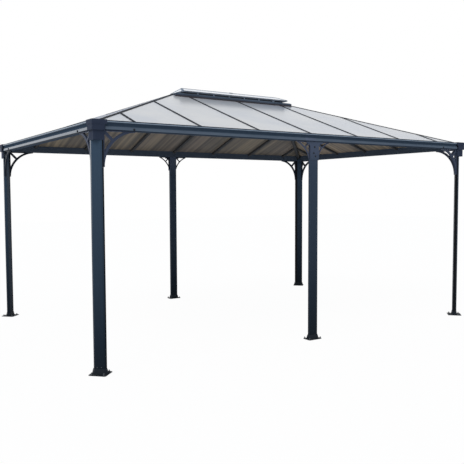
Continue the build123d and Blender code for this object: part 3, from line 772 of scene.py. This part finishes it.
# Roof sheets: bronze-tinted twin-wall polycarbonate with a glossy weathering layer on top, clamped
# under the bars' covers. The top's pale grey is painted reflection of the sky. The flutes run down
# the slope and show as golden streaks from below.
LONG_BROWN = (0.086, 0.074, 0.062)
LONG_ROSE = (0.200, 0.155, 0.130)
LONG_GOLD = (0.310, 0.240, 0.155)
SHORT_BROWN = (0.150, 0.120, 0.090)
SHORT_ROSE = (0.310, 0.225, 0.175)
SHORT_GOLD = (0.400, 0.300, 0.185)
SHEET_FLUTE = (0.140, 0.130, 0.115)
# Painted reflection of the sky: the pale grey of the sheets' top.
SHEET_SKY_COOL = (0.41, 0.43, 0.47)
SHEET_SKY_WARM = (0.52, 0.515, 0.51)
FLUTES = 95.0
FLUTE_COVER = 0.35
STREAKS = 17.0
STREAK_LOW = 0.32
STREAK_HIGH = 0.74
BROAD_STREAKS = 1.3
SHEET_CLOUDS = 1.6
CLOUD_LOW = 0.3
CLOUD_HIGH = 0.7
FLUTES_ALONG_Y = (1.0, 0.03, 0.03)
FLUTES_ALONG_X = (0.03, 1.0, 0.03)
TOP_FROM = 0.1
TOP_FULL = 0.3
UNDER_DULL = 0.55
TOP_GLOSS = 0.25
SHEET_CLOUD_DULL = 0.05
SHEET_SHINE = 0.60


def twin_wall(name, drawn, under, sky_cool, sky_warm):
    """Twin-wall sheet; drawn says which way its flutes run, and under has its three tints from below."""
    fixed = {"Specular IOR Level": 0.1, "Coat Roughness": 0.16, "Coat IOR": 1.6}
    material, shader, place = new_finish(name, fixed)
    brown, rose, gold = under
    streak = place.noise(STREAKS, drawn).ramp(STREAK_LOW, STREAK_HIGH)
    broad = place.noise(BROAD_STREAKS, drawn).ramp(CLOUD_LOW, CLOUD_HIGH)
    tint = streak.blend(brown, broad.blend(rose, gold))
    fluted = (place.noise(FLUTES, drawn) * FLUTE_COVER).blend(tint, SHEET_FLUTE)
    cloud = place.noise(SHEET_CLOUDS)
    # Painted reflection: the top is pale grey like the sky it mirrors.
    sky_reflection = cloud.ramp(CLOUD_LOW, CLOUD_HIGH).blend(sky_cool, sky_warm)
    upward = place.normal().axis("Z").ramp(TOP_FROM, TOP_FULL)
    upward.blend(fluted, sky_reflection).feed(shader, "Base Color")
    (UNDER_DULL - upward * TOP_GLOSS + cloud * SHEET_CLOUD_DULL).feed(shader, "Roughness")
    (upward * SHEET_SHINE).feed(shader, "Coat Weight")
    return material


long_bronze = (LONG_BROWN, LONG_ROSE, LONG_GOLD)
short_bronze = (SHORT_BROWN, SHORT_ROSE, SHORT_GOLD)
long_sheet = twin_wall("long_slope_sheet", FLUTES_ALONG_Y, long_bronze, SHEET_SKY_COOL, SHEET_SKY_WARM)
short_sheet = twin_wall("short_slope_sheet", FLUTES_ALONG_X, short_bronze, SHEET_SKY_COOL, SHEET_SKY_WARM)
for name in nodes:
    if name.endswith("panels"):
        wear(nodes[name], short_sheet if name.startswith(("left", "right")) else long_sheet)


# Eave closers: pale anodised strips that close the open ends of the twin-wall sheets. Each lies
# on the sheet between two rafters and is folded down over its lower edge.
ANODISED_DARK = (0.62, 0.64, 0.66)
ANODISED_LIGHT = (0.78, 0.79, 0.80)
ANODISED_LINES = 140.0
LINES_UPRIGHT = (1.0, 1.0, 0.2)
SLOPE = atan(PITCH)
ROOF_EDGE = 0.025
SHEET_EDGE_TOP = ROOF_HEIGHT - PITCH * ROOF_EDGE - COVER_THICK
CLOSER_WIDE = 0.032
CLOSER_THICK = 0.0016
CLOSER_LIFT = 0.0012
CLOSER_DROP = 0.012
CLOSER_CLEAR = 0.002
SHEET_GAP = 0.007
RAFTER_STEP = 0.686
SIDE_STEP = 0.6165
CORNER_TRIM = 0.060


def anodised():
    """Pale drawn aluminium."""
    fixed = {"Specular IOR Level": 0.5, "Metallic": 0.35}
    material, shader, place = new_finish("eave_closer_anodised", fixed)
    drawn = place.noise(ANODISED_LINES, LINES_UPRIGHT)
    drawn.blend(ANODISED_DARK, ANODISED_LIGHT).feed(shader, "Base Color")
    dull(shader, drawn, least=0.25, spread=0.2)
    return material


def eave_closer(long, reach):
    """One closer over the front eave, with its middle at X 0."""
    run = CLOSER_WIDE * cos(SLOPE)
    back = run / 2 - CLOSER_CLEAR
    place = (0.0, back - reach, SHEET_EDGE_TOP + back * PITCH + CLOSER_LIFT)
    strip = leaf((long, CLOSER_WIDE), place, (SLOPE, 0.0, 0.0))
    open_edges(strip, lambda point: point.y < place[1])
    draw_out(0.0, 0.0, -CLOSER_DROP)
    thicken(strip, CLOSER_THICK)
    return strip


def row_of_closers(names, reach, half, step, count):
    """Closers on two facing eaves: like ones between the rafters and a shorter one at each end."""
    outer = count * step
    wide = eave_closer(step - 2 * SHEET_GAP, reach)
    short = eave_closer(half - CORNER_TRIM - outer - 2 * SHEET_GAP, reach)
    strips = [copy_to(wide, (step * (place + 0.5), 0.0, 0.0)) for place in range(-count, count)]
    for end in (-1.0, 1.0):
        strips.append(copy_to(short, (end * (half - CORNER_TRIM + outer) / 2, 0.0, 0.0)))
    model = join("closer_model", strips)
    for name, heading in names:
        closer = copy_to(model, (0.0, 0.0, 0.0), heading)
        closer.name = name
        settle(closer, pale_metal)
    for spare in (wide, short, model):
        bpy.data.objects.remove(spare)


pale_metal = anodised()
long_names = (("front_eave_closer", 0.0), ("back_eave_closer", radians(180.0)))
short_names = (("right_eave_closer", radians(90.0)), ("left_eave_closer", radians(-90.0)))
row_of_closers(long_names, POST_Y + ROOF_EDGE, POST_X, RAFTER_STEP, count=3)
row_of_closers(short_names, POST_X + ROOF_EDGE, POST_Y, SIDE_STEP, count=2)


# Ridge vent: an aluminium curb with a rail along its top, painted dark blue and lighter where the
# light strikes it. The cap over it is a small hipped roof of clear sheet on pale spacers.
CURB_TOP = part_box("vent_frame")[1][2]
CURB_FACE = -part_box("vent_frame")[0][1]
CURB_FOOT = ROOF_HEIGHT + PITCH * (POST_Y - CURB_FACE)
CURB_LIGHT = (0.090, 0.128, 0.178)
CURB_DARK = (0.040, 0.062, 0.094)
# Painted shade at the foot of the curb.
CURB_FOOT_SHADE = (0.036, 0.029, 0.034)
# Painted highlight: the rail along the curb's top gets a lighter copy of the curb paint.
RAIL_HIGHLIGHT = (0.210, 0.260, 0.330)
RAIL_HIGHLIGHT_DARK = (0.140, 0.180, 0.235)
CURB_PATCHES = 1.1
PATCHES_ALONG = (1.0, 0.2, 0.2)
PATCH_LOW = 0.35
PATCH_HIGH = 0.65


def curb_coat(name, light, dark):
    """Satin paint with painted light in patches along the curb and painted shade at its foot."""
    material, shader, place = new_finish(name, {"Specular IOR Level": 0.2})
    # Painted light in patches along the curb, and painted shade at its foot below.
    lit_patches = place.noise(CURB_PATCHES, PATCHES_ALONG).ramp(PATCH_LOW, PATCH_HIGH)
    unshaded = place.axis("Z").ramp(CURB_FOOT, CURB_TOP)
    unshaded.blend(CURB_FOOT_SHADE, lit_patches.blend(dark, light)).feed(shader, "Base Color")
    dull(shader, lit_patches, least=0.40, spread=0.1)
    orange_peel(place, shader, strength=0.05)
    return material


SILVER_DARK = (0.15, 0.18, 0.22)
SILVER_LIGHT = (0.24, 0.27, 0.32)
SILVER_CLOUDS = 8.0


def silver_and_highlight_paint():
    """Silver paint on the cap's bars and edge frame, pale also as painted highlight along the frame."""
    material, shader, place = new_finish("vent_cap_bar_coat", {"Specular IOR Level": 0.05})
    cloud = place.noise(SILVER_CLOUDS)
    cloud.blend(SILVER_DARK, SILVER_LIGHT).feed(shader, "Base Color")
    dull(shader, cloud, least=0.55, spread=0.1)
    return material


SPACER_DARK = (0.22, 0.27, 0.34)
SPACER_LIGHT = (0.30, 0.35, 0.43)
SPACER_GRAIN = 120.0


def spacer_plastic():
    """Pale grained plastic."""
    material, shader, place = new_finish("spacer_plastic", {"Specular IOR Level": 0.3})
    grain = place.noise(SPACER_GRAIN)
    grain.blend(SPACER_DARK, SPACER_LIGHT).feed(shader, "Base Color")
    dull(shader, grain, least=0.45, spread=0.1)
    return material


CAP_SHADE = ((0.010, 0.018, 0.032), (0.020, 0.030, 0.046), (0.026, 0.036, 0.052))
# Painted reflection of the sky: the pale top of the cap's clear sheet.
CAP_SKY_COOL = (0.64, 0.67, 0.72)
CAP_SKY_WARM = (0.76, 0.77, 0.79)
curb_paint = curb_coat("vent_curb_coat", CURB_LIGHT, CURB_DARK)
rail_highlight = curb_coat("vent_rail_painted_highlight", RAIL_HIGHLIGHT, RAIL_HIGHLIGHT_DARK)
cap_sheet = twin_wall("vent_cap_sheet", FLUTES_ALONG_Y, CAP_SHADE, CAP_SKY_COOL, CAP_SKY_WARM)
cap_silver_and_highlight = silver_and_highlight_paint()
wear(nodes["vent_frame"], curb_paint)
wear(nodes["vent_rails"], rail_highlight)
wear(nodes["vent_cap_panels"], cap_sheet)
wear(nodes["vent_spacers"], spacer_plastic())
wear(nodes["vent_cap_bars"], cap_silver_and_highlight)
wear(nodes["vent_cap_frame"], cap_silver_and_highlight)


# Ridge clip: a folded saddle of thin metal in the cap's silver paint. It is pressed over the
# middle of the cap's ridge bar, with a short wing down each side.
CLIP_LONG = 0.045
CLIP_TOP = 0.014
CLIP_WING_OUT = 0.010
CLIP_WING_DROP = 0.0032
CLIP_WALL = 0.002
ridge_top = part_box("vent_cap_bars")[1][2]
clip = leaf((CLIP_LONG, CLIP_TOP), (0.0, 0.0, ridge_top + CLIP_WALL / 2))
clip.name = "vent_ridge_clip"
for way in (-1.0, 1.0):
    open_edges(clip, lambda point: point.y * way > CLIP_TOP / 4)
    draw_out(0.0, way * CLIP_WING_OUT, -CLIP_WING_DROP)
thicken(clip, CLIP_WALL)
soften(clip, CLIP_WALL / 4)
settle(clip, cap_silver_and_highlight)


# Rafter heads: pressed clips that hold the upper ends of the long slopes' rafters to the curb.
# Each lies on a rafter's cover, with two flanges down its sides and a tab up the curb's face.
HEAD_LONG = 0.070
HEAD_WIDE = 0.030
HEAD_WALL = 0.0015
HEAD_FLANGE = 0.005
HEAD_TAB = 0.014
HEAD_LIFT = 0.001
head_run = HEAD_LONG * cos(SLOPE)
head_y = -(CURB_FACE + HEAD_WALL + head_run / 2)
head_z = ROOF_HEIGHT + PITCH * (POST_Y + head_y) + HEAD_LIFT
head = leaf((HEAD_WIDE, HEAD_LONG), (0.0, head_y, head_z), (SLOPE, 0.0, 0.0))
for way in (-1.0, 1.0):
    open_edges(head, lambda point: point.x * way > HEAD_WIDE / 4)
    draw_out(0.0, 0.0, -HEAD_FLANGE)
tab_line = head_y + head_run / 4
tab_low = head_z + PITCH * head_run / 2 - HEAD_FLANGE / 2
open_edges(head, lambda point: point.y > tab_line and point.z > tab_low)
draw_out(0.0, 0.0, HEAD_TAB)
thicken(head, HEAD_WALL)
for side, turn in (("front", 0.0), ("back", radians(180.0))):
    row = [copy_to(head, (step * RAFTER_STEP, 0.0, 0.0), turn) for step in (-1, 0, 1)]
    settle(join(f"{side}_rafter_heads", row), curb_paint)
bpy.data.objects.remove(head)


# Studio: a pale floor that keeps the shadow, a white surround, a broad soft sun from the front
# left and a camera at the photograph's place.
FLOOR_SIZE = 60.0
FLOOR_PALE = (0.85, 0.85, 0.85, 1.0)
FLOOR_WHITE = 0.97
start_piece()
bpy.ops.mesh.primitive_plane_add(size=FLOOR_SIZE, location=(0.0, 0.0, 0.0))
floor = bpy.context.object
floor.name = "studio_floor"
floor_fixed = {"Base Color": FLOOR_PALE, "Roughness": 0.9, "Specular IOR Level": 0.0}
floor_paint, floor_shader, floor_place = new_finish("pale_floor", floor_fixed)
tree = floor_place.tree
glow = tree.nodes.new("ShaderNodeEmission")
seen = Shade(tree, tree.nodes.new("ShaderNodeLightPath").outputs["Is Camera Ray"])
mixed = seen.node(
    "ShaderNodeMixShader",
    None,
    {
        0: seen * FLOOR_WHITE,
        1: Shade(tree, floor_shader.outputs[0]),
        2: Shade(tree, glow.outputs[0]),
    },
)
mixed.feed(tree.nodes["Material Output"], "Surface")
wear(floor, floor_paint)

SKY_COLOUR = (0.82, 0.90, 1.0, 1.0)
SKY_LEVEL = 0.75
SKY_FALL = 0.30
WHITE = (1.0, 1.0, 1.0, 1.0)
world = bpy.data.worlds.new("studio")
bpy.context.scene.world = world
world.use_nodes = True
tree = world.node_tree
sky = tree.nodes["Background"]
sky.inputs["Color"].default_value = SKY_COLOUR
toward = Shade(tree, tree.nodes.new("ShaderNodeTexCoord").outputs["Generated"])
(SKY_LEVEL - toward.axis("X") * SKY_FALL).feed(sky, "Strength")
white = tree.nodes.new("ShaderNodeBackground")
white.inputs["Color"].default_value = WHITE
rays = tree.nodes.new("ShaderNodeLightPath")
seen = Shade(tree, rays.outputs["Is Camera Ray"])
glossy = Shade(tree, rays.outputs["Is Glossy Ray"])
through = Shade(tree, rays.outputs["Is Transmission Ray"])
mixed = seen.node(
    "ShaderNodeMixShader",
    None,
    {
        0: seen + glossy + through,
        1: Shade(tree, sky.outputs[0]),
        2: Shade(tree, white.outputs[0]),
    },
)
mixed.feed(tree.nodes["World Output"], "Surface")

SUN_PLACE = (-8.0, -6.0, 10.0)
SUN_TURN = (radians(42.0), 0.0, radians(-62.0))
SUN_STRENGTH = 1.0
SUN_SPREAD = radians(30.0)
bpy.ops.object.light_add(type="SUN", location=SUN_PLACE, rotation=SUN_TURN)
sun = bpy.context.object
sun.data.energy = SUN_STRENGTH
sun.data.angle = SUN_SPREAD

CAMERA_PLACE = (-4.4177, -6.8037, 1.5852)
CAMERA_TURN = (radians(86.511), radians(0.229), radians(-33.070))
CAMERA_LENS = 48.411
CAMERA_SENSOR = 36.0
bpy.ops.object.camera_add(location=CAMERA_PLACE, rotation=CAMERA_TURN)
camera = bpy.context.object
camera.data.lens = CAMERA_LENS
camera.data.sensor_width = CAMERA_SENSOR
bpy.context.scene.camera = camera
bpy.context.scene.view_settings.view_transform = "Standard"
